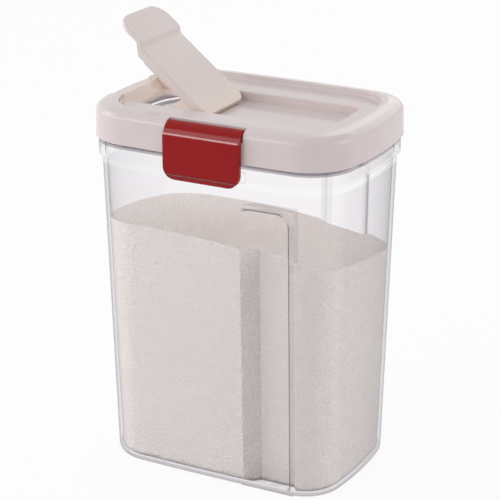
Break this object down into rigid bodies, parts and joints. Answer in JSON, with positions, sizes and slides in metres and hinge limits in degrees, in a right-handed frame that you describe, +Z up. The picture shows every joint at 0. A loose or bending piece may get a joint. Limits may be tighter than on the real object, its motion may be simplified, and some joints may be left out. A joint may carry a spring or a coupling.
{
  "type": "sugar keeper",
  "caption": "Clear rounded-rectangular food canister with a back-hinged lid, a front latch and a flip cap over a pour opening, filled with sugar.",
  "frame": {"origin": "middle of the flat base, on the surface that it stands on", "axes": "+X along the long side away from the pour opening, -Y towards the latch, +Z up"},
  "size_m": [0.1382, 0.103, 0.2182],
  "materials": {
    "clear_plastic": "gloss",
    "cream_plastic": "satin",
    "cap_plastic": "satin",
    "red_plastic": "gloss",
    "silicone": "matte",
    "steel": "satin",
    "sugar": "matte"
  },
  "bodies": {
    "container": {"container": "clear_plastic", "lid_hinge_pin": "steel", "sugar_fill": "sugar"},
    "lid": {"lid": "cream_plastic", "lid_gasket": "silicone", "flip_cap_pin": "steel", "latch_pin": "steel"},
    "flip_cap": {"flip_cap": "cap_plastic", "flip_cap_seal": "silicone"},
    "latch": {"latch": "red_plastic"}
  },
  "joints": [
    {"name": "lid_hinge", "type": "hinge", "parent": "container", "child": "lid", "pos_m": [0, 0.0491, 0.1622], "axis": [-1, 0, 0], "range_deg": [0, 110]},
    {"name": "flip_cap_hinge", "type": "hinge", "parent": "lid", "child": "flip_cap", "pos_m": [-0.0166, 0, 0.1769], "axis": [0, 1, 0], "range_deg": [-38.3, 130]},
    {"name": "latch_hinge", "type": "hinge", "parent": "lid", "child": "latch", "pos_m": [0.0013, -0.0453, 0.1796], "axis": [-1, 0, 0], "range_deg": [0, 110]}
  ]
}
